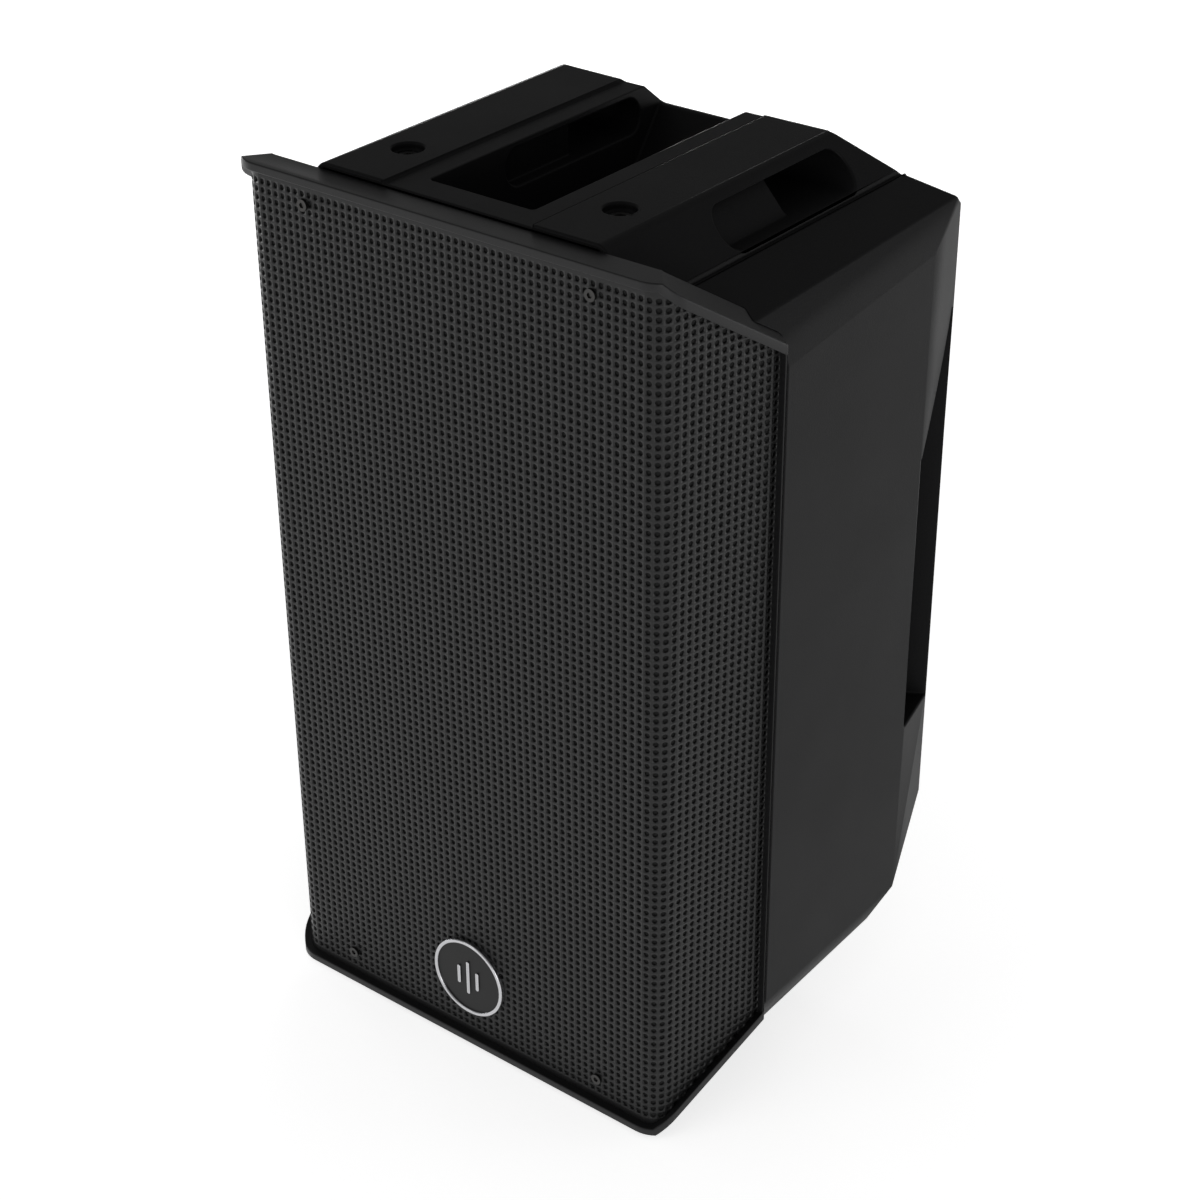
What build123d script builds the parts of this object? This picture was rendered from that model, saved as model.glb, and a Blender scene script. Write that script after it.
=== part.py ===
from build123d import *
import os
from math import sin, cos, tan, radians

# Powered two-way PA loudspeaker. Millimetres, +Z up. The front faces -Y and the origin is on the
# floor, under the middle of the cabinet.

# ---- driving dimensions -------------------------------------------------------------------------
depth = 340.0                # front of the bezel to the back of the casing
foot_gap = 3.0               # the rubber feet lift the bezel this far off the floor
bezel_height = 603.0
front_half = 161.8           # half width of the flat part of the front
wrap_angle = 74.8            # the front folds back by this angle at each side
wing = 90.2                  # length of each folded-back wing
wing_drop = 58.0             # how far a wing's top edge falls, and its bottom edge rises
bend_radius = 22.0           # plan radius of the bezel where it folds
bezel_depth = 19.0           # thickness of the bezel, front to back
rim = 5.5                    # thickness of the bezel's rim above and below the grille
wall = 4.5                   # moulded wall

grille_recess = 5.5          # grille face behind the rim's front edge
grille_gauge = 1.5
foam_gauge = 2.0
pocket = 9.5                 # depth of the bezel's pocket behind the rim's front edge

plateau_z = 607.0            # top of the two handle ridges, from the bezel's bottom
deck_z = 605.0               # deck between the ridges
side_top_z = 543.0           # top edge of a side wall
ridge_out = 106.0            # outer edge of a ridge's top
ridge_in = 56.0              # inner edge of a ridge's top
groove = (134.0, 576.0)      # foot of a ridge's shoulder: x, z
brow = (172.0, 562.5)        # edge between the sloping deck and the steep band over the side wall
side_rear = (177.0, 257.0)   # rear edge of a side wall: x, depth from the front
rear_corner = (165.5, 304.0)
back_half = 133.0
base_z = 8.0                 # underside of the casing, from the bezel's bottom
base_half = 118.0

front = -depth / 2
mid_z = foot_gap + bezel_height / 2


# ---- shared geometry ----------------------------------------------------------------------------
# Every y below is a depth behind the bezel's front face until it is shifted by `front`.
def at(x, y, z=0.0):
    """A point from its offset to the side, its depth behind the front and its height on the bezel."""
    return (x, front + y, foot_gap + z)


def corner(offset):
    """Corner between the flat front and the right wing, on a line `offset` behind the face."""
    return (front_half - offset * tan(radians(wrap_angle / 2)), front + offset)


def wing_point(offset, along):
    """Point on the right wing, `along` it from the corner and `offset` behind its face."""
    c, s = cos(radians(wrap_angle)), sin(radians(wrap_angle))
    return (front_half + c * along - s * offset, front + s * along + c * offset)


def flipped(point):
    return (-point[0],) + tuple(point[1:])


def wrap_line(offset, along):
    """The folded front line, `offset` behind the face, as one filleted polyline."""
    right = [corner(offset), wing_point(offset, along)]
    points = [flipped(right[1]), flipped(right[0]), right[0], right[1]]
    return FilletPolyline(points, radius=max(bend_radius - offset, 1.0))


def wrap_band(near, far, along, bottom, top):
    """A folded plate that follows the front, between two offsets and two heights."""
    with BuildPart() as band:
        with BuildSketch(Plane.XY.offset(bottom)):
            with BuildLine():
                face_line = wrap_line(near, along)
                back_line = wrap_line(far, along)
                Line(face_line @ 0, back_line @ 0)
                Line(face_line @ 1, back_line @ 1)
            make_face()
        extrude(amount=top - bottom)
    return band.part


def slope_planes(inset):
    """The four planes that slope along the wings' top and bottom edges, moved in by `inset`.

    Each starts from the mitre line between the flat front and the wing."""
    c, s = cos(radians(wrap_angle)), sin(radians(wrap_angle))
    edge = Vector(c * wing, s * wing, -wing_drop)
    mitre = Vector(-tan(radians(wrap_angle / 2)), 1, 0)
    up = edge.cross(mitre).normalized()
    up = up if up.Z > 0 else -up
    planes = []
    for side in (1, -1):
        for end in (1, -1):
            normal = Vector(side * up.X, up.Y, end * up.Z)
            start = Vector(side * front_half, front, mid_z + end * bezel_height / 2)
            planes.append(Plane(origin=start - normal * inset, z_dir=normal))
    return planes


def trimmed(solid, planes):
    """The part of a solid behind every plane."""
    with BuildPart() as result:
        add(solid)
        for plane in planes:
            split(bisect_by=plane, keep=Keep.BOTTOM)
    return result.part


def casing_block(inset):
    """The rear casing as one block, with all its faces moved in by `inset`."""
    side = wing_point(0, wing)
    right = [(back_half, front + depth), (rear_corner[0], front + rear_corner[1]),
             (side_rear[0], front + side_rear[1]), side, (front_half, front)]
    top_outline = [(ridge_in, deck_z), (ridge_in, plateau_z), (ridge_out, plateau_z), groove,
                   (brow[0] + 30, brow[1] - 30 * (groove[1] - brow[1]) / (brow[0] - groove[0]))]
    low_outline = [(brow[0] + 30, bezel_height - top_outline[-1][1]), (groove[0], 30.0),
                   (base_half, base_z)]
    section = [(x, foot_gap + z) for x, z in top_outline + low_outline]
    with BuildPart() as block:
        with BuildSketch():
            with BuildLine():
                Polyline(*right, *[flipped(p) for p in reversed(right)], close=True)
            make_face()
            offset(amount=-inset, kind=Kind.INTERSECTION)
        extrude(amount=foot_gap + plateau_z)
        with BuildSketch(Plane.XZ):
            with BuildLine():
                Polyline(*section, *[flipped(p) for p in reversed(section)], close=True)
            make_face()
            offset(amount=-inset, kind=Kind.INTERSECTION)
        extrude(amount=depth, both=True, mode=Mode.INTERSECT)
    return trimmed(block.part, casing_planes(inset))


def casing_planes(inset):
    """Steep bands above and below the side walls, and the slopes at the back of the top and base."""
    rise = (brow[1] - side_top_z) / (side_rear[0] + 3 - brow[0])
    steep = Vector(rise, 0.06, 1).normalized()
    planes = []
    for side in (1, -1):
        for end in (1, -1):
            normal = Vector(side * steep.X, steep.Y, end * steep.Z)
            edge = Vector(side * side_rear[0], front + side_rear[1],
                          mid_z + end * (side_top_z - 2 - bezel_height / 2))
            planes.append(Plane(origin=edge - normal * inset, z_dir=normal))
    for start, stop, end in (((246.0, plateau_z), (304.0, 558.0), 1), ((257.0, 62.0), (304.0, 112.0), -1)):
        run, fall = stop[0] - start[0], abs(stop[1] - start[1])
        normal = Vector(0, fall, end * run).normalized()
        planes.append(Plane(origin=Vector(*at(0, *start)) - normal * inset, z_dir=normal))
    return planes


# ---- front moulding: bezel, rim and baffle --------------------------------------------------------
woofer_z = foot_gap + 183.0
horn_z = foot_gap + 452.0
horn_half = (122.0, 68.0)        # half width and half height of the horn's flange
horn_border = 8.0                # width of that flange
port_x, port_z = 118.0, foot_gap + 349.0
port_radius = 21.0
port_wall = 3.0
baffle_back = 34.0
baffle_half = (141.0, 260.0)     # half width and half height of the thick, flat part
woofer_radius = 150.0
seat_depth = 28.0                # the woofer's frame sits on a ledge this far behind the front
cone_opening = 136.0             # radius of the woofer's opening
horn_seat = 13.5
screw_ring = 142.0
screw_radius = 2.1
screw_head = 3.8
bezel_bottom, bezel_top = foot_gap, foot_gap + bezel_height
grille_screw_points = [(sx * 109.0, foot_gap + z) for sx in (1, -1) for z in (22.5, 583.5)]
casing_screw_points = [(sx * 75.0, foot_gap + z) for sx in (1, -1) for z in (20.0, 588.0)]
horn_screw_points = [(sx * 114.6, horn_z + sz * 60.6) for sx in (1, -1) for sz in (1, -1)]


def front_plane(y):
    """A plane facing the front, `y` behind the bezel's front face, with local x to the right."""
    return Plane.XZ.offset(-(front + y))


def discs(centres, radius, near, far, bore=0.0):
    """Round bars or tubes at the same places, from one depth behind the front to another."""
    with BuildPart() as bars:
        with BuildSketch(front_plane(far)):
            with Locations(*centres):
                Circle(radius)
                if bore:
                    Circle(bore, mode=Mode.SUBTRACT)
        extrude(amount=far - near)
    return bars.part


def blocks(centres, width, height, near, far, radius=0.0):
    """Square-edged or rounded blocks at the same places, from one depth to another."""
    with BuildPart() as made:
        with BuildSketch(front_plane(far)):
            with Locations(*centres):
                if radius:
                    RectangleRounded(width, height, radius)
                else:
                    Rectangle(width, height)
        extrude(amount=far - near)
    return made.part


def turned(outline, z, x=0.0):
    """A body turned about an axis along Y through (x, z), from points of radius and depth."""
    with BuildPart() as body:
        with BuildSketch(Plane.XY.offset(z)):
            with BuildLine():
                Polyline(*[(x + radius, front + y) for radius, y in outline], close=True)
            make_face()
        revolve(axis=Axis((x, 0, z), (0, 1, 0)))
    return body.part


def screws(centres, head, shank, near, seat, tip):
    """Pan-head screws at the same places: head from `near` to `seat`, shank on to `tip`."""
    with BuildPart() as fixing:
        add(discs(centres, head, near, seat))
        add(discs(centres, shank, seat, tip))
        with BuildSketch(front_plane(near)):
            with Locations(*centres):
                RegularPolygon(head * 0.5, 6)
        extrude(amount=-(seat - near) * 0.6, mode=Mode.SUBTRACT)
    return fixing.part


woofer_screw_points = [(screw_ring * cos(radians(22.5 + 45 * i)),
                        woofer_z + screw_ring * sin(radians(22.5 + 45 * i))) for i in range(8)]

with BuildPart() as front_bezel:
    add(trimmed(wrap_band(0, bezel_depth, wing, bezel_bottom, bezel_top), slope_planes(0)))
    add(trimmed(wrap_band(0, pocket, wing - 1.5, bezel_bottom + rim, bezel_top - rim), slope_planes(rim)),
        mode=Mode.SUBTRACT)
    add(blocks([(0, mid_z)], 2 * baffle_half[0], 2 * baffle_half[1], bezel_depth, baffle_back))
    add(discs([(0, woofer_z)], woofer_radius + 0.3, 0, seat_depth), mode=Mode.SUBTRACT)
    add(discs([(0, woofer_z)], cone_opening, 0, baffle_back), mode=Mode.SUBTRACT)
    add(blocks([(0, horn_z)], 2 * horn_half[0] + 0.6, 2 * horn_half[1] + 0.6, 0, horn_seat, 14.3),
        mode=Mode.SUBTRACT)
    add(blocks([(0, horn_z)], 2 * (horn_half[0] - horn_border), 2 * (horn_half[1] - horn_border), 0,
               baffle_back, 10), mode=Mode.SUBTRACT)
    add(discs([(port_x, port_z), (-port_x, port_z)], port_radius + port_wall, 0, baffle_back),
        mode=Mode.SUBTRACT)
    add(discs(grille_screw_points + horn_screw_points + woofer_screw_points, screw_radius, 0, baffle_back),
        mode=Mode.SUBTRACT)
    add(discs(casing_screw_points, screw_head + 0.2, 0, pocket + 3), mode=Mode.SUBTRACT)
    add(discs(casing_screw_points, screw_radius, 0, baffle_back), mode=Mode.SUBTRACT)
front_bezel.part.label = "front_bezel"

with BuildPart() as grille:
    add(trimmed(wrap_band(grille_recess, grille_recess + grille_gauge, wing - 2.0, bezel_bottom + rim + 0.2,
                          bezel_top - rim - 0.2), slope_planes(rim + 0.2)))
    add(discs(grille_screw_points, screw_radius, 0, pocket), mode=Mode.SUBTRACT)
grille.part.label = "grille"

with BuildPart() as grille_foam:
    add(trimmed(wrap_band(grille_recess + grille_gauge, pocket, wing - 3.0, bezel_bottom + rim + 1,
                          bezel_top - rim - 1), slope_planes(rim + 1)))
    add(discs(grille_screw_points, screw_radius, 0, pocket), mode=Mode.SUBTRACT)
grille_foam.part.label = "grille_foam"

with BuildPart() as grille_screws:
    add(screws(grille_screw_points, screw_head, screw_radius, grille_recess - 1.8, grille_recess, 24))
grille_screws.part.label = "grille_screws"

badge_z = foot_gap + 54.5
badge_radius = 30.0

ring_width = 2.8
mark_bars = [(x, badge_z) for x in (-8.0, 0.0, 8.0)]

with BuildPart() as badge_plate:
    add(discs([(0, badge_z)], badge_radius - ring_width, grille_recess - 2.0, grille_recess))
badge_plate.part.label = "badge_plate"

with BuildPart() as badge_ring:
    # the ring, and the three raised bars of a plain mark inside it
    add(discs([(0, badge_z)], badge_radius, grille_recess - 3.4, grille_recess, badge_radius - ring_width))
    fillet(badge_ring.edges().filter_by(GeomType.CIRCLE).group_by(Axis.Y)[0], 1.0)
    for place, length in zip(mark_bars, (15.0, 27.0, 15.0)):
        add(blocks([place], 2.6, length, grille_recess - 3.0, grille_recess - 2.0, 1.25))
badge_ring.part.label = "badge_ring"

# ---- woofer ---------------------------------------------------------------------------------------
gasket_front = 22.0
frame_front = 24.0
basket_end = 110.0
basket_radius = 74.0
coil_radius = 38.0
plate_gauge = 8.0
magnet_gauge = 22.0
magnet_radius = 80.0

with BuildPart() as woofer_frame:
    add(turned([(134.5, frame_front), (woofer_radius, frame_front), (woofer_radius, seat_depth),
                (135.5, seat_depth), (135.5, 38), (basket_radius, basket_end - 6),
                (basket_radius, basket_end), (44, basket_end), (44, basket_end - 4), (69, basket_end - 4),
                (129.5, 36), (129.5, 32), (134.5, 32)], woofer_z))
    # windows between the six arms
    with BuildSketch(front_plane(basket_end - 8)):
        with Locations((0, woofer_z)):
            with PolarLocations(104, 6):
                Rectangle(56, 74)
    extrude(amount=44, mode=Mode.SUBTRACT)
    add(discs(woofer_screw_points, screw_radius, 0, baffle_back + 4), mode=Mode.SUBTRACT)
woofer_frame.part.label = "woofer_frame"

with BuildPart() as woofer_gasket:
    add(discs([(0, woofer_z)], woofer_radius, gasket_front, frame_front, cone_opening - 0.5))
    add(discs(woofer_screw_points, screw_head, 0, frame_front), mode=Mode.SUBTRACT)
woofer_gasket.part.label = "woofer_gasket"

surround_inner, surround_outer = 112.0, 133.6
roll = (surround_outer - surround_inner - 6) / 2
cone_edge_y = 25.0

with BuildPart() as woofer_surround:
    with BuildSketch(Plane.XY.offset(woofer_z)):
        with BuildLine():
            inner_x, outer_x = surround_inner + 3, surround_outer - 3
            mid_x = (inner_x + outer_x) / 2
            y0 = front + cone_edge_y
            Polyline((inner_x, y0), (surround_inner, y0), (surround_inner, y0 + 1), (inner_x + 1, y0 + 1))
            ThreePointArc((inner_x + 1, y0 + 1), (mid_x, y0 - roll + 1.2), (outer_x - 1, y0 + 1))
            Polyline((outer_x - 1, y0 + 1), (surround_outer, y0 + 1), (surround_outer, y0), (outer_x, y0))
            ThreePointArc((outer_x, y0), (mid_x, y0 - roll), (inner_x, y0))
        make_face()
    revolve(axis=Axis((0, 0, woofer_z), (0, 1, 0)))
woofer_surround.part.label = "woofer_surround"

neck_y = 84.0
with BuildPart() as woofer_cone:
    add(turned([(surround_inner + 2.5, cone_edge_y + 1), (surround_inner + 2.5, cone_edge_y + 2.2),
                (coil_radius + 2.2, neck_y), (coil_radius, neck_y), (coil_radius, neck_y - 2),
                (surround_inner - 2, cone_edge_y + 1)], woofer_z))
woofer_cone.part.label = "woofer_cone"

cap_radius, cap_rise = 50.0, 14.0
cap_y = cone_edge_y + 1 + (surround_inner - 2 - cap_radius) * (neck_y - 3 - cone_edge_y) / (
    surround_inner - 2 - coil_radius)
cap_sphere = (cap_radius ** 2 + cap_rise ** 2) / (2 * cap_rise)
cap_gauge = 1.2
cap_centre = front + cap_y - cap_rise + cap_sphere


def cap_point(radius, sphere):
    """A point on a dome whose centre lies on the woofer's axis."""
    return (radius, cap_centre - (sphere ** 2 - radius ** 2) ** 0.5)


inner_sphere = cap_sphere - cap_gauge
inner_radius = (inner_sphere ** 2 - (cap_sphere - cap_rise) ** 2) ** 0.5
with BuildPart() as dust_cap:
    with BuildSketch(Plane.XY.offset(woofer_z)):
        with BuildLine():
            outer = ThreePointArc(*[cap_point(r, cap_sphere) for r in (0, cap_radius / 2, cap_radius)])
            inner = ThreePointArc(*[cap_point(r, inner_sphere) for r in (inner_radius, inner_radius / 2, 0)])
            Line(outer @ 1, inner @ 0)
            Line(inner @ 1, outer @ 0)
        make_face()
    revolve(axis=Axis((0, 0, woofer_z), (0, 1, 0)))
dust_cap.part.label = "dust_cap"

with BuildPart() as voice_coil:
    add(discs([(0, woofer_z)], coil_radius, neck_y - 2, basket_end + 7, coil_radius - 0.8))
voice_coil.part.label = "voice_coil"

spider_y = 96.0
corrugation = 1.2
spider_steps = 9
spider_points = [(coil_radius + i * (66.0 - coil_radius) / spider_steps,
                  spider_y + (corrugation if i % 2 else -corrugation)) for i in range(spider_steps + 1)]
with BuildPart() as spider:
    add(turned(spider_points + [(r, y + 0.8) for r, y in reversed(spider_points)], woofer_z))
spider.part.label = "spider"

plate_back = basket_end + plate_gauge
magnet_back = plate_back + magnet_gauge
with BuildPart() as woofer_top_plate:
    add(discs([(0, woofer_z)], basket_radius - 2, basket_end, plate_back, coil_radius + 1.0))
woofer_top_plate.part.label = "woofer_top_plate"

with BuildPart() as woofer_magnet:
    add(discs([(0, woofer_z)], magnet_radius, plate_back, magnet_back, 45))
woofer_magnet.part.label = "woofer_magnet"

with BuildPart() as woofer_back_plate:
    add(turned([(12, basket_end - 2), (coil_radius - 1.8, basket_end - 2), (coil_radius - 1.8, magnet_back),
                (basket_radius, magnet_back), (basket_radius, magnet_back + plate_gauge),
                (12, magnet_back + plate_gauge)], woofer_z))
woofer_back_plate.part.label = "woofer_back_plate"

# ---- horn and compression driver --------------------------------------------------------------------
throat_radius = 17.5
horn_end = 128.0
horn_skin = 3.0
mouth_half = (horn_half[0] - horn_border - 1, horn_half[1] - horn_border - 1)


def horn_loft(skin):
    """The horn's flare, from its rectangular mouth to its round throat, grown by `skin`."""
    with BuildPart() as flare:
        with BuildSketch(front_plane(horn_seat - 3.5 if skin == 0 else horn_seat - 0.5)):
            with Locations((0, horn_z)):
                RectangleRounded(2 * (mouth_half[0] - horn_skin + skin),
                                 2 * (mouth_half[1] - horn_skin + skin), 9)
        with BuildSketch(front_plane(60)):
            with Locations((0, horn_z)):
                RectangleRounded(2 * (58 + skin), 2 * (37 + skin), 26)
        with BuildSketch(front_plane(horn_end)):
            with Locations((0, horn_z)):
                RectangleRounded(2 * (throat_radius + skin), 2 * (throat_radius + skin),
                                 throat_radius + skin - 0.3)
        loft()
    return flare.part


driver_bolt_points = [(38 * sin(radians(90 * i + 45)), horn_z + 38 * cos(radians(90 * i + 45)))
                      for i in range(4)]
with BuildPart() as horn:
    add(horn_loft(horn_skin))
    add(blocks([(0, horn_z)], 2 * horn_half[0], 2 * horn_half[1], horn_seat - 3.5, horn_seat, 14))
    add(discs([(0, horn_z)], 46, horn_end - 6, horn_end))
    add(horn_loft(0), mode=Mode.SUBTRACT)
    add(discs(driver_bolt_points, screw_radius, horn_end - 8, horn_end + 1), mode=Mode.SUBTRACT)
    add(discs(horn_screw_points, screw_radius, 0, horn_seat + 1), mode=Mode.SUBTRACT)
    add(discs(horn_screw_points, screw_head + 0.1, 0, horn_seat - 1.6), mode=Mode.SUBTRACT)
horn.part.label = "horn"

with BuildPart() as baffle_screws:
    add(screws(horn_screw_points, screw_head, screw_radius, horn_seat - 3.6, horn_seat - 1.6, 28))
    add(screws(casing_screw_points, screw_head, screw_radius, pocket, pocket + 3, 38))
    add(screws(woofer_screw_points, screw_head, screw_radius,
               gasket_front - 0.5, frame_front, baffle_back + 3))
baffle_screws.part.label = "baffle_screws"

driver_back = horn_end + 52.0
with BuildPart() as compression_driver:
    add(turned([(throat_radius, horn_end), (46, horn_end), (46, horn_end + 5), (52, horn_end + 8),
                (52, driver_back - 12), (44, driver_back), (0, driver_back), (0, driver_back - 6),
                (38, driver_back - 6), (38, driver_back - 24), (throat_radius, horn_end + 16)], horn_z))
    add(discs(driver_bolt_points, screw_radius, 0, driver_back - 30), mode=Mode.SUBTRACT)
compression_driver.part.label = "compression_driver"

with BuildPart() as driver_bolts:
    add(discs(driver_bolt_points, screw_radius, horn_end - 6, driver_back - 30))
    with BuildSketch(front_plane(horn_end - 6)):
        with Locations(*driver_bolt_points):
            RegularPolygon(4.0, 6)
    extrude(amount=2.6)
driver_bolts.part.label = "driver_bolts"

dome_y = driver_back - 12.0
with BuildPart() as driver_diaphragm:
    add(turned([(0, dome_y - 6), (14, dome_y - 5), (26, dome_y - 1.2), (34, dome_y), (34, dome_y + 0.8),
                (26, dome_y - 0.2), (14, dome_y - 3.8), (0, dome_y - 4.8)], horn_z))
driver_diaphragm.part.label = "driver_diaphragm"

port_end = 118.0
port_labels = {1: "right_port_tube", -1: "left_port_tube"}
port_tubes = []
for side, label in port_labels.items():
    with BuildPart() as port_tube:
        add(discs([(side * port_x, port_z)], port_radius + port_wall, pocket + 0.5, port_end, port_radius))
        fillet(port_tube.edges().filter_by(GeomType.CIRCLE).group_by(Axis.Y)[0].sort_by(SortBy.RADIUS)[0], 2)
    port_tube.part.label = label
    port_tubes.append(port_tube)

# ---- rear casing ----------------------------------------------------------------------------------
well_half = 40.0                 # half width of the well between the ridges
well_front, well_back = 41.0, 244.0
well_floor = 540.0
tunnel_front, tunnel_back = 108.0, 241.0
tunnel_low, tunnel_high = 578.0, 601.0
tunnel_mid_y = front + (tunnel_front + tunnel_back) / 2
tunnel_mid_z = foot_gap + (tunnel_low + tunnel_high) / 2
recess_low, recess_full, recess_high = 195.0, 400.0, 488.0


def well_block(grow):
    """The well between the ridges: steep sides, a flat floor and a ramp up to the back."""
    low, top = foot_gap + well_floor - grow, foot_gap + plateau_z + 5
    y0, y1 = front + well_front - grow, front + well_back
    with BuildPart() as well:
        with BuildSketch(Plane.YZ):
            with BuildLine():
                Polyline((y0, top), (y0, low), (y1 - 30 + grow, low), (y1 + 18 + grow, top - 22),
                         (y1 + 60, top - 22), (y1 + 60, top), close=True)
            make_face()
        extrude(amount=well_half + grow, both=True)
        with BuildSketch(Plane.XZ):
            with BuildLine():
                Polyline((-(well_half + grow), top), (-(well_half - 8 + grow), low),
                         (well_half - 8 + grow, low), (well_half + grow, top), close=True)
            make_face()
        extrude(amount=depth, both=True, mode=Mode.INTERSECT)
        if grow == 0:
            edges = well.edges().filter_by(lambda e: abs(e.center().Z - low) < 1)
            fillet(edges, 8)
    return well.part


tunnel_deep = 178.0              # behind this depth a slot runs right through its ridge
slot_depth = 9.0                 # ahead of it the slot is only this deep


def slot_core():
    """What is left standing inside the ridges ahead of the hand holes: the slots' shallow floors."""
    fall = (groove[1] - plateau_z) / (groove[0] - ridge_out)
    inward = Vector(fall, -1).normalized() * slot_depth
    start = Vector(ridge_out, plateau_z) + inward
    with BuildPart() as core:
        with BuildSketch(Plane.XZ.offset(-(front + tunnel_deep))):
            with BuildLine():
                Polyline(*[(x, foot_gap + z) for x, z in (
                    (well_half + slot_depth - 4, 560), (well_half + slot_depth - 4, 620),
                    (start.X + (620 - start.Y) / fall, 620), (start.X + (560 - start.Y) / fall, 560))],
                    close=True)
            make_face()
        extrude(amount=tunnel_deep)
        mirror(about=Plane.YZ)
    return core.part


def tunnel_block(grow):
    """A hand tunnel of stadium section across both ridges."""
    with BuildPart() as tunnel:
        with BuildSketch(Plane.YZ):
            with Locations((tunnel_mid_y, tunnel_mid_z)):
                RectangleRounded(tunnel_back - tunnel_front + 2 * grow, tunnel_high - tunnel_low + 2 * grow,
                                 (tunnel_high - tunnel_low) / 2 + grow - 0.5)
        extrude(amount=groove[0] + 12, both=True)
    return tunnel.part


def recess_block(grow):
    """The tall hand grip cut into each rear corner, run out to nothing at its top."""
    mouth = 40.0
    a, b = side_rear, rear_corner
    inner = (b[0] - 24 - grow, b[1] - 15)

    def outline(shift):
        """The grip's section, moved towards the rear corner by a share `shift` of its way there."""
        ya = a[1] - grow + shift * (b[1] - 2 - a[1])
        return [(inner[0] + shift * 20, front + inner[1] + shift * 13), (a[0], front + ya),
                (a[0] + mouth, front + ya), (b[0] + mouth, front + b[1] + grow),
                (b[0], front + b[1] + grow)]

    with BuildPart() as recess:
        with BuildSketch(Plane.XY.offset(foot_gap + recess_low - grow)):
            with BuildLine():
                Polyline(*outline(0), close=True)
            make_face()
        extrude(amount=recess_full - recess_low + grow)
        with BuildSketch(Plane.XY.offset(foot_gap + recess_full)):
            with BuildLine():
                Polyline(*outline(0), close=True)
            make_face()
        with BuildSketch(Plane.XY.offset(foot_gap + recess_high + grow)):
            with BuildLine():
                Polyline(*outline(0.92), close=True)
            make_face()
        loft()
        mirror(about=Plane.YZ)
    return recess.part


panel_half = (104.0, 146.0)      # half width and half height of the amplifier panel
panel_z = foot_gap + 336.0
panel_y = 320.0                  # front of the panel, behind the bezel's front
panel_gauge = 2.5
ledge = 9.0                      # the panel rests on a ledge this wide
pole_radius = 17.75
pole_wall = 3.5
pole_length = 84.0
pole_y = front + 152.0
pole_screw_points = [(26.5 * sin(radians(90 * i + 45)), pole_y + 26.5 * cos(radians(90 * i + 45)))
                     for i in range(4)]
foot_radius = 14.0
foot_points = [(sx * 96.0, front + y) for sx in (1, -1) for y in (48.0, 184.0)]
insert_points = [(sx * 80.5, front + 68.0) for sx in (1, -1)]
insert_recess = 5.0              # depth of the round recess around each rigging insert
insert_radius = 7.0
insert_length = 22.0
crease_end = 288.0               # how far back the groove at a ridge's foot runs
crease_depth = 2.4
boss_half = 7.5
boss_back = 40.0


def upright(centres, radius, low, high, bore=0.0):
    """Upright bars or tubes at the same places, between two heights."""
    with BuildPart() as bars:
        with BuildSketch(Plane.XY.offset(low)):
            with Locations(*centres):
                Circle(radius)
                if bore:
                    Circle(bore, mode=Mode.SUBTRACT)
        extrude(amount=high - low)
    return bars.part


ridge_top = foot_gap + plateau_z
underside = foot_gap + base_z
bezel_space = trimmed(wrap_band(-30, bezel_depth, wing + 0.01, -10, 640), slope_planes(0))
screw_bosses = blocks([(x, z + (9 if z > mid_z else -5)) for x, z in casing_screw_points], 2 * boss_half,
                      26, bezel_depth, boss_back)
# solid corners close the casing over and under the ends of the wings
cheek_z, cheek_back = 546.0, 97.0
cheek_height = 60.0
cheeks = blocks([(sx * (baffle_half[0] + 25.5), mid_z + sz * (cheek_z + (cheek_height - bezel_height) / 2))
                 for sx in (1, -1) for sz in (1, -1)], 50, cheek_height, bezel_depth, cheek_back)
panel_well = blocks([(0, panel_z)], 2 * panel_half[0] + 0.6, 2 * panel_half[1] + 0.6, panel_y, depth + 10, 6)
panel_window = blocks([(0, panel_z)], 2 * (panel_half[0] - ledge), 2 * (panel_half[1] - ledge),
                      panel_y - 20, depth + 10, 4)
panel_screw_points = [(sx * (panel_half[0] - 5.0), panel_z + sz * zz)
                      for sx in (1, -1) for sz in (1, -1) for zz in (46.0, panel_half[1] - 6.0)]

with BuildPart() as cavity:
    add(casing_block(wall))
    add(well_block(wall), mode=Mode.SUBTRACT)
    add(tunnel_block(3.0), mode=Mode.SUBTRACT)
    add(recess_block(wall), mode=Mode.SUBTRACT)
    add(screw_bosses, mode=Mode.SUBTRACT)
    add(cheeks, mode=Mode.SUBTRACT)
    add(upright(insert_points, insert_radius + 5, ridge_top - insert_recess - insert_length - 4, ridge_top),
        mode=Mode.SUBTRACT)
    add(blocks([(0, panel_z)], 2 * panel_half[0] + 8, 2 * panel_half[1] + 8, panel_y - 4, depth, 8),
        mode=Mode.SUBTRACT)

with BuildPart() as hand_slots:
    add(tunnel_block(0))
    add(slot_core(), mode=Mode.SUBTRACT)

with BuildPart() as crease_grooves:
    # a fine groove along the foot of each ridge's shoulder
    with BuildSketch(Plane.XZ.offset(-(front + crease_end))):
        for side in (1, -1):
            with BuildLine():
                Polyline(*[(side * (groove[0] + dx), foot_gap + groove[1] + dz)
                           for dx, dz in ((-1.6, 3.0), (-0.9, -crease_depth),
                                          (0.9, -crease_depth), (1.9, 1.5))],
                         close=True)
            make_face()
    extrude(amount=crease_end)

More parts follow.
